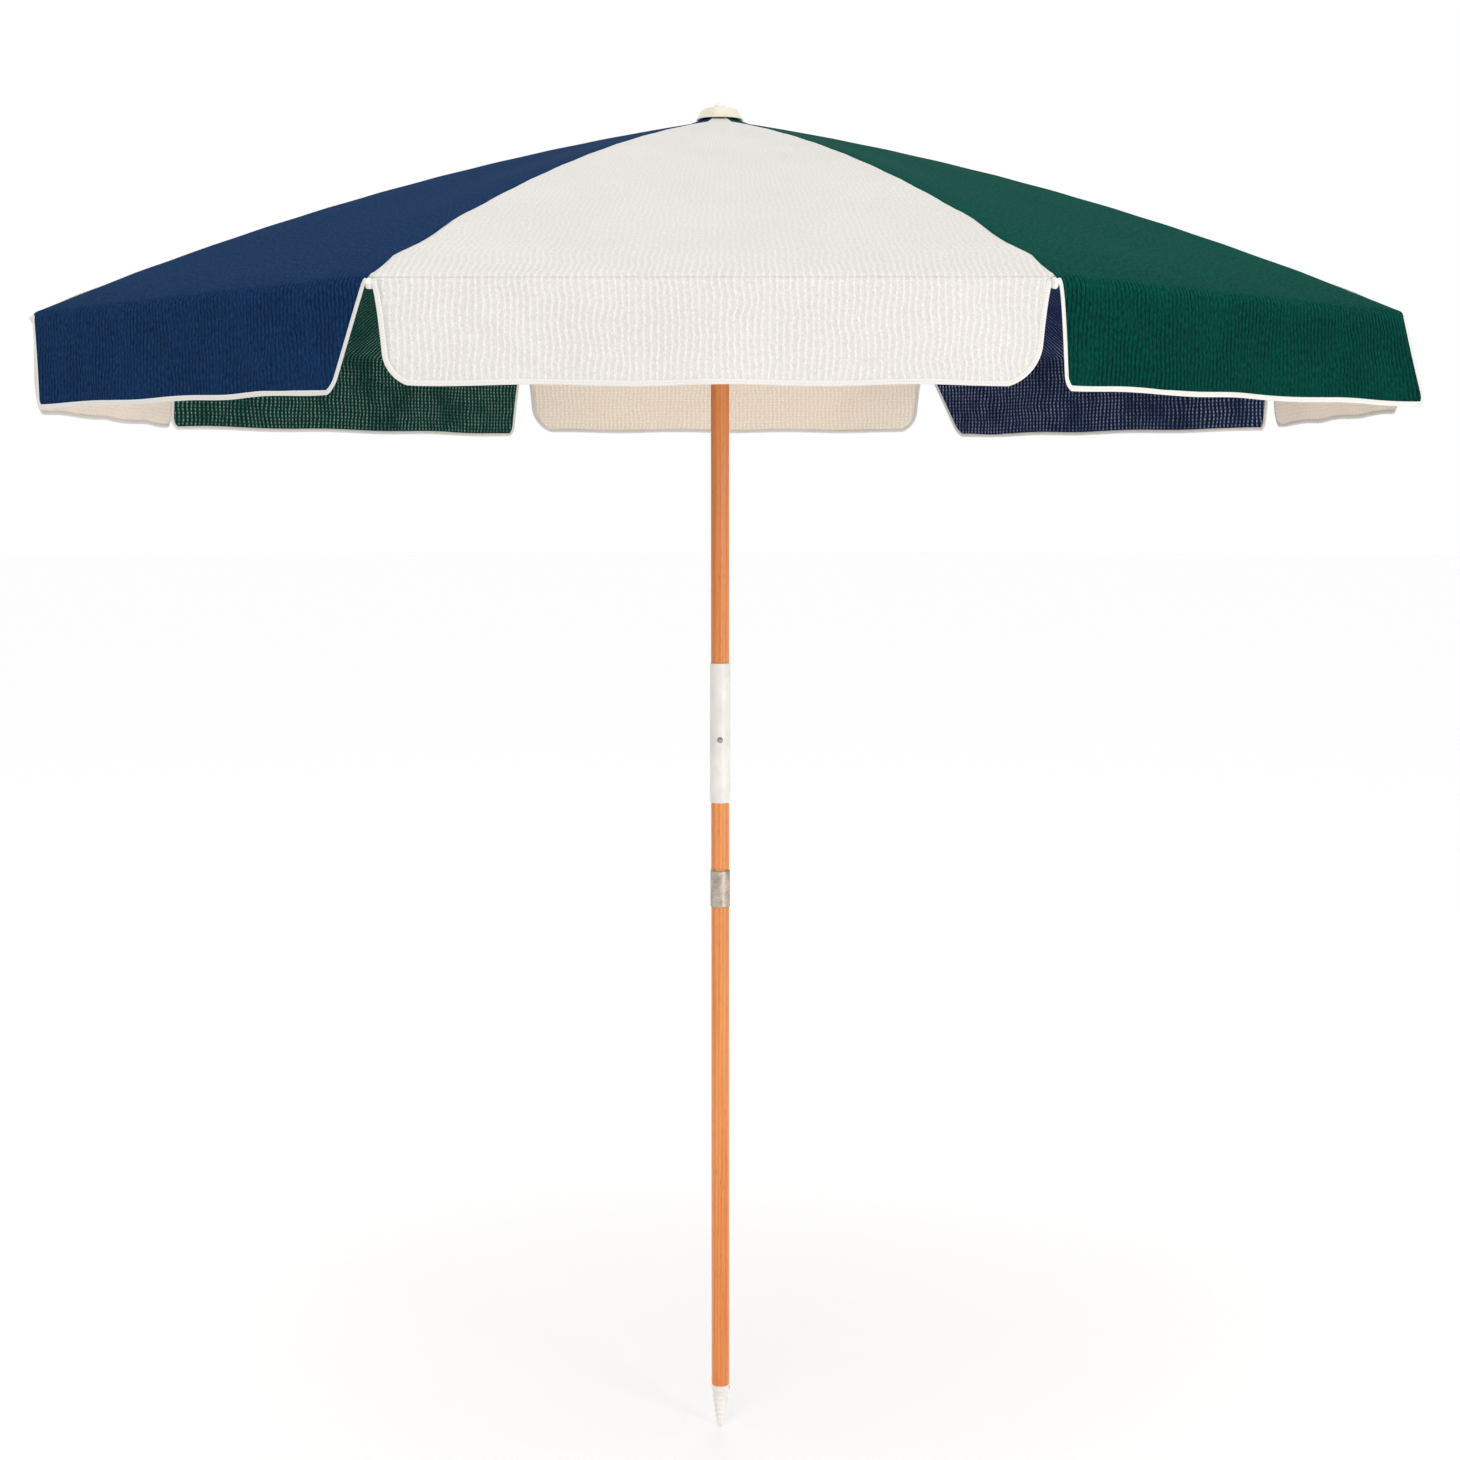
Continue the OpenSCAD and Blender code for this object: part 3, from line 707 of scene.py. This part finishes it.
def between(tree, share, a, b):
    """A place between two others: a where the share is 0 and b where it is 1."""
    node = tree.nodes.new("ShaderNodeMix")
    node.data_type = "VECTOR"
    for socket, value in ((0, share), (4, a), (5, b)):
        tree.links.new(value, node.inputs[socket])
    return node.outputs[1]


def hang_from_ribs(piece, i):
    """Lets each point follow the two ribs beside it, so the cloth pleats outwards as the ribs fold."""
    tree = bpy.data.node_groups.new(f"{piece.name}_pleats", "GeometryNodeTree")
    for way in ("INPUT", "OUTPUT"):
        tree.interface.new_socket("Geometry", in_out=way, socket_type="NodeSocketGeometry")
    nodes, links = tree.nodes, tree.links
    seat = noted(tree, "seat", "FLOAT_VECTOR")
    carried = [carried_by(tree, f"rib_{rib}", seat) for rib in (i, i % RIBS + 1)]
    hung = nodes.new("ShaderNodeVectorMath")
    links.new(between(tree, noted(tree, "share", "FLOAT"), *carried), hung.inputs[0])
    links.new(noted(tree, "drop", "FLOAT_VECTOR"), hung.inputs[1])
    held = carried_by(tree, "crown", seat)
    eased = between(tree, noted(tree, "loose", "FLOAT"), held, hung.outputs[0])
    put = nodes.new("GeometryNodeSetPosition")
    links.new(nodes.new("NodeGroupInput").outputs[0], put.inputs["Geometry"])
    links.new(eased, put.inputs["Position"])
    links.new(put.outputs[0], nodes.new("NodeGroupOutput").inputs[0])
    modifier = piece.modifiers.new("pleats", "NODES")
    modifier.node_group = tree
    piece.modifiers.move(len(piece.modifiers) - 1, 0)


def fold_with(piece, i):
    """Gathers a piece of the canopy between its ribs as the umbrella closes."""
    hang_from_ribs(piece, i)
    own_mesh(piece)


def make_panel(i):
    gore, flap, binding = make_gore(i), make_flap(i), make_binding(i)
    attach(gore, f"panel_{i}_body")
    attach(flap, f"flap_{i}_body")
    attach(binding, f"flap_{i}_body")
    for piece in (gore, flap, binding):
        fold_with(piece, i)
    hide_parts(f"panel_{i}")
    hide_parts(f"flap_{i}")
    flap_area(i)


# ---- Rib tips and their pockets ----


def signed_power(x, power):
    """A power that keeps its sign, which squares off a round section."""
    return math.copysign(abs(x) ** power, x)


def make_pocket(i):
    """Folded cloth pocket that holds the rib's tip at the canopy's corner."""
    half = Vector((0.011, 0.0048, 0.0066))

    def point(s, t):
        v, u = (s - 0.5) * math.pi, t * math.tau
        cv, sv = signed_power(math.cos(v), 0.55), signed_power(math.sin(v), 0.55)
        cu, su = signed_power(math.cos(u), 0.6), signed_power(math.sin(u), 0.6)
        crease = 1 + 0.06 * math.sin(5 * u + i) * math.cos(v)
        return Vector((half.x * sv, half.y * cv * cu * crease, half.z * cv * su * crease))

    pocket = tidy(grid(f"rib_pocket_{i}", 14, 28, point, closed=True, uv=lambda s, t: (t * 0.04, s * 0.03)))
    lean = math.atan2(PEAK_Z - RIM_Z, CANOPY_R) * 1.35
    turn = rib_turn(i)
    r, z = CANOPY_R - 0.009, RIM_Z - 0.0080
    wear(place(pocket, turn, (r * math.cos(turn), r * math.sin(turn), z), lean), tape)
    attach(pocket, f"rib_{i}_body")


# ---- Pole ----


def pole_shape(r, z, turn):
    """A turned pole is never perfectly round or straight."""
    return r * (1 + 0.0018 * math.sin(3 * turn + z * 9)), z


def pole(name, low, high, stands_for, body, chamfer=0.0012):
    outline = rounded([(0, low), (POLE_R, low), (POLE_R, high), (0, high)], chamfer)
    piece = lathe(name, densify(outline, 0.02), 72, pole_shape)
    wear(piece, pole_wood)
    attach(piece, body)
    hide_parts(*stands_for)
    return piece


def cut(piece, low, high):
    """Cuts a box out of a piece."""
    bm = bmesh.new()
    bmesh.ops.create_cube(bm, size=1.0)
    centre, size = (Vector(low) + Vector(high)) / 2, Vector(high) - Vector(low)
    bmesh.ops.transform(bm, verts=bm.verts, matrix=Matrix.Translation(centre) @ Matrix.Diagonal((*size, 1)))
    tool_mesh = bpy.data.meshes.new("tool")
    bm.to_mesh(tool_mesh)
    bm.free()
    tool = bpy.data.objects.new("tool", tool_mesh)
    bpy.context.scene.collection.objects.link(tool)
    modifier = piece.modifiers.new("cut", "BOOLEAN")
    modifier.object, modifier.solver = tool, "EXACT"
    bpy.context.view_layer.update()
    result = bpy.data.meshes.new_from_object(piece.evaluated_get(bpy.context.evaluated_depsgraph_get()))
    piece.modifiers.clear()
    piece.data = result
    bpy.data.objects.remove(tool)


def make_poles():
    ferrule_low, ferrule_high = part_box("ferrule")[0].z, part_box("ferrule")[1].z
    fork_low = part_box("middle_pole")[1].z
    upper_low, upper_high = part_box("upper_pole")[0].z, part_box("upper_pole")[1].z
    pole("pole_lower", 0.0, ferrule_low - 0.0003, ["lower_pole"], "lower_pole_body")
    pole("pole_middle", ferrule_high + 0.0004, fork_low, ["middle_pole"], "middle_pole_body")
    for name, low, high, body in (
        ("pole_middle_spigot", POLE_JOINT_Z + 0.0002, ferrule_high + 0.001, "middle_pole_body"),
        ("pole_lower_spigot", ferrule_low - 0.001, POLE_JOINT_Z - 0.0002, "lower_pole_body"),
    ):
        outline = rounded([(0, low), (SPIGOT_R, low), (SPIGOT_R, high), (0, high)], 0.001)
        spigot = wear(lathe(name, densify(outline, 0.01), 64), pole_wood)
        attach(spigot, body)
    upper = pole("pole_upper", upper_low, upper_high, ["upper_pole"], "upper_pole_body")
    catch_low, catch_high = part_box("runner_catch")
    cut(upper, (-0.0027, -0.03, catch_low.z - 0.0003), (0.0027, -0.0065, catch_high.z + 0.0003))
    make_varnish_line(ferrule_high)


def make_varnish_line(ferrule_high):
    """Ridge of varnish that has run down to the ferrule's top edge."""
    ridge = [
        (POLE_R + 0.0002, ferrule_high + 0.0006),
        (POLE_R + 0.0006, ferrule_high + 0.0022),
        (POLE_R + 0.0001, ferrule_high + 0.0036),
        (POLE_R - 0.001, ferrule_high + 0.002),
        (POLE_R + 0.0002, ferrule_high + 0.0006),
    ]
    varnish = Paint("varnish_ridge", 0.35)
    drip = varnish.noise(varnish.place((1, 1, 1)), 90.0, 4.0)
    tone = varnish.mix(varnish.range(drip, 0.35, 0.6), linear(120, 66, 22), linear(222, 158, 70))
    line = wear(lathe("varnish_line", ridge, 72), varnish.colour(tone))
    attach(line, "middle_pole_body")


# ---- Ferrule, sleeve and screw ----


def make_ferrule():
    low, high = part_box("ferrule")[0].z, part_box("ferrule")[1].z
    inner = POLE_R + 0.0001
    height = high - low
    dents = [(FRONT, 0.12), (FRONT, 0.87), (FRONT - 1.25, 0.2), (FRONT - 1.25, 0.8), (FRONT + 2.1, 0.5)]

    def shape(r, z, turn):
        share = (z - low) / height
        if r < FERRULE_R - 0.0006:
            return r, z
        for angle, at in dents:
            away = math.remainder(turn - angle, math.tau) * FERRULE_R
            d = math.hypot(away, (share - at) * height)
            r -= 0.0011 * math.exp(-((d / 0.0016) ** 2))
        return r, z

    wall = [
        (inner, low),
        (FERRULE_R - 0.0002, low),
        (FERRULE_R + 0.0003, low + 0.0012),
        (FERRULE_R - 0.0001, low + 0.003),
        (FERRULE_R - 0.0001, high - 0.0015),
        (FERRULE_R - 0.0005, high),
        (inner, high),
        (inner, low),
    ]
    piece = lathe("ferrule_tube", densify(rounded(wall, 0.0006), 0.0022), 120, shape)
    wear(piece, galvanised)
    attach(piece, "lower_pole_body")
    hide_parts("ferrule")


def make_sleeve():
    low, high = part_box("tilt_sleeve")[0].z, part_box("tilt_sleeve")[1].z
    inner = POLE_R + 0.00075
    wall = [(inner, low), (SLEEVE_R, low), (SLEEVE_R, high), (inner, high), (inner, low)]
    piece = lathe("sleeve_tube", densify(rounded(wall, 0.0006), 0.012), 96)
    wear(piece, white_plastic)
    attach(piece, "sleeve_body")
    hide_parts("tilt_sleeve")


def screw_head(name, radius, height, at, turn, material, body, slot_name, stands_for, slotted):
    """Domed head whose axis points outwards at an angle round the pole, with a dark seat ring painted as
    the shade in its recess.
    """
    angles = [k * math.pi / 20 for k in range(1, 11)]
    dome = [(0, height)]
    dome += [(radius * math.sin(a), height * (0.45 + 0.55 * math.cos(a))) for a in angles]
    head = lathe(name, dome + [(radius, 0.0), (0, -0.0004)], 40)
    if slotted:
        cut(head, (-radius * 1.2, -0.00045, height * 0.45), (radius * 1.2, 0.00045, height * 1.3))
    seat = [(0, -0.0004), (radius * 1.22, -0.0004), (radius * 1.2, 0.00025), (0, 0.0003)]
    ring = lathe(name + "_seat", rounded(seat, 0.0001), 40)
    # The seat ring wears painted shade, dark as the recess round the head.
    for piece, paint in ((head, material), (ring, recess_shade)):
        place(piece, turn, at, math.pi / 2)
        wear(piece, paint)
        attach(piece, body)
    if stands_for:
        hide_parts(*stands_for)


def make_screws():
    low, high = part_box("sleeve_screw")
    z = (low.z + high.z) / 2
    at = (0, -SLEEVE_R + 0.0001, z)
    rest = (bright_steel, "sleeve_body", "steel", ["sleeve_screw"], True)
    screw_head("sleeve_screw_head", 0.0039, 0.0019, at, FRONT, *rest)
    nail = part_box("spike_nail")
    z = (nail[0].z + nail[1].z) / 2
    at = (POLE_R - 0.0002, 0, z)
    rest = (bright_steel, "lower_pole_body", "steel", ["spike_nail"], False)
    screw_head("spike_nail_head", 0.0024, 0.0009, at, 0.0, *rest)


# ---- Ground spike ----


def make_spike():
    """Collar, then a tapering core with a raised helical thread that ends in a rounded tip."""
    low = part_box("ground_spike")[0].z
    collar_r, start, turns = POLE_R - 0.0002, -0.0125, 7.0

    def core(z):
        share = (z - low) / (start - low)
        return 0.0034 + (collar_r - 0.0022 - 0.0034) * max(0.0, share) ** 0.72

    def shape(r, z, turn):
        if r < 1e-6 or z > start:
            return r, z
        share = (z - low) / (start - low)
        thread = (share * turns + turn / math.tau) % 1.0
        ridge = bump(thread, 0.5, 0.2)
        fade = smooth(share, 0.04, 0.16) * (1 - smooth(share, 0.93, 1.0))
        return r + 0.0016 * ridge * fade, z

    rows, tip_h = 120, 0.004
    tip_z = low + tip_h
    heights = [start + (tip_z - start) * k / rows for k in range(rows + 1)]
    taper = [(core(z), z) for z in heights]
    tip_r = taper[-1][0]
    angles = [k * math.pi / 16 for k in range(1, 8)]
    tip = [(tip_r * math.cos(a), tip_z - tip_h * math.sin(a)) for a in angles]
    collar = [(0, -0.0002), (collar_r, -0.0002), (collar_r, start + 0.002), (core(start), start)]
    top = rounded(collar, 0.0008)
    piece = lathe("spike_thread", densify(top, 0.004)[:-1] + taper + tip + [(0, low)], 96, shape)
    wear(piece, white_plastic)
    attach(piece, "lower_pole_body")
    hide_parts("ground_spike")


# ---- Finial ----


def make_finial():
    low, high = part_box("finial_cap")[0].z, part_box("finial_cap")[1].z
    h = high - low
    wall = 0.0024
    outer = [
        (CAP_R - wall, low),
        (CAP_R, low),
        (CAP_R - 0.0008, low + 0.1 * h),
        (CAP_R - 0.0045, low + 0.42 * h),
        (CAP_R - 0.0090, low + 0.80 * h),
        (CAP_R - 0.0125, low + 0.93 * h),
        (KNOB_R + 0.004, low + 0.985 * h),
        (0, high),
    ]
    inner = [
        (0, low + 0.6 * h),
        (CAP_R - wall - 0.0075, low + 0.6 * h),
        (CAP_R - wall - 0.001, low + 0.1 * h),
    ]
    cap = lathe("cap_dome", inner + densify(rounded(outer, 0.003, 5), 0.006), 120)
    wear(cap, cream_plastic)
    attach(cap, "upper_pole_body")
    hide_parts("finial_cap")
    make_knob(high)


def make_knob(base):
    """Round nut on top of the cap."""
    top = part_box("finial_knob")[1].z
    k = top - base
    dome = [
        (0, base - 0.001),
        (KNOB_R * 0.96, base - 0.001),
        (KNOB_R, base + 0.3 * k),
        (KNOB_R * 0.97, base + 0.5 * k),
        (KNOB_R * 0.82, base + 0.74 * k),
        (KNOB_R * 0.56, base + 0.91 * k),
        (KNOB_R * 0.25, top),
        (0, top),
    ]
    knob = lathe("cap_knob", rounded(dome, 0.0022, 5), 72)
    wear(knob, white_plastic)
    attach(knob, "upper_pole_body")
    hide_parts("finial_knob")


def make_patch():
    """Ring of cream cloth over the panels, just under the cap."""
    r_in, r_out = POLE_R + 0.001, CAP_R - 0.013

    def point(s, t):
        r = r_in + (r_out - r_in) * s
        lift = 0.0009 + 0.0004 * math.sin(8 * t * math.tau)
        return (r * math.cos(t * math.tau), r * math.sin(t * math.tau), profile(r) + peak_rise(r) + lift)

    patch = grid("patch_cloth", 8, 96, point, closed=True, uv=lambda s, t: (t * 0.2, s * 0.02))
    wear(patch, outer_cloth["cream"], inner_cloth["cream"])
    thicken(patch, 0.0008, 1)
    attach(patch, "upper_pole_body")
    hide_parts("apex_patch")


def paint_nodes():
    """Gives the CAD nodes that stay visible their materials."""
    for name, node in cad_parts.items():
        if node.hide_render:
            continue
        node.data.materials.clear()
        if name in ("crown", "runner"):
            node.data.materials.append(white_plastic)
        elif name.startswith(("rib_", "stretcher_")):
            node.data.materials.append(wire_steel)
        elif name in ("ferrule_pins", "tilt_fork", "tilt_tongue"):
            node.data.materials.append(galvanised)
        else:
            node.data.materials.append(bright_steel)


def make_tip_caps():
    """White plastic caps over the rib ends."""
    for i in range(1, RIBS + 1):
        turn = rib_turn(i)
        lean = math.atan2(PEAK_Z - RIM_Z, CANOPY_R) * 1.36
        outline = [(0, -0.017), (0.0035, -0.017), (0.0036, 0.0008), (0.0022, 0.0036), (0, 0.0038)]
        cap = lathe(f"rib_tip_cap_{i}", rounded(outline, 0.0008), 28)
        z = profile(CANOPY_R) - 0.0068 / math.cos(lean)
        cap.data.transform(
            Matrix.Translation((CANOPY_R * math.cos(turn), CANOPY_R * math.sin(turn), z))
            @ Matrix.Rotation(turn, 4, "Z")
            @ Matrix.Rotation(math.pi / 2 + lean, 4, "Y")
        )
        wear(cap, white_plastic)
        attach(cap, f"rib_{i}_body")


# ---- Stage, light and camera ----


def make_stage():
    floor_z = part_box("ground_spike")[0].z - 0.0005

    def point(s, t):
        r = 60.0 * s * s
        return (r * math.cos(t * math.tau), r * math.sin(t * math.tau), floor_z)

    floor = tidy(grid("floor", 24, 96, point, closed=True))
    p = Paint("floor_paint", 0.9)
    grain = p.noise(p.place((1, 1, 1)), 300.0, 4.0)
    wear(floor, p.colour(p.mix(p.range(grain, 0.3, 0.7), linear(254, 254, 254), linear(253, 253, 253))))
    world = bpy.data.worlds.new("studio")
    world.use_nodes = True
    background = world.node_tree.nodes["Background"]
    background.inputs["Color"].default_value = (1.0, 1.0, 1.0, 1.0)
    background.inputs["Strength"].default_value = 1.0
    bpy.context.scene.world = world
    bpy.context.scene.view_settings.view_transform = "Standard"


def area_light(name, at, target, size, power):
    data = bpy.data.lights.new(name, "AREA")
    data.shape, data.size, data.energy = "DISK", size, power
    light = bpy.data.objects.new(name, data)
    light.location = at
    light.rotation_mode = "QUATERNION"
    light.rotation_quaternion = (Vector(target) - Vector(at)).to_track_quat("-Z", "Y")
    bpy.context.scene.collection.objects.link(light)


def make_lights():
    middle = (0, 0, 1.6)
    area_light("key", (3.3, -3.9, 1.2), middle, 1.6, 66)
    area_light("top", (-1.0, -3.4, 5.4), middle, 2.5, 46)
    area_light("back", (0.5, 5.0, 2.6), middle, 3.0, 30)


def make_camera():
    """Stands where the photo was taken from: level with the pole's middle, pitched a little down."""
    distance, height = 3.957, 1.581
    round_deg, down_deg, aside_deg = 0.58, 5.92, 0.247
    azimuth = math.radians(round_deg)
    data = bpy.data.cameras.new("camera")
    data.sensor_width, data.lens = 36.0, 56.7
    camera = bpy.data.objects.new("camera", data)
    camera.location = (distance * math.sin(azimuth), -distance * math.cos(azimuth), height)
    camera.rotation_euler = (math.radians(90 - down_deg), 0, math.radians(round_deg - aside_deg))
    bpy.context.scene.collection.objects.link(camera)
    bpy.context.scene.camera = camera


make_camera()
make_stage()
make_lights()
for i in range(1, RIBS + 1):
    make_panel(i)
    make_pocket(i)
make_tip_caps()
make_poles()
make_ferrule()
make_sleeve()
make_screws()
make_spike()
make_finial()
make_patch()
paint_nodes()
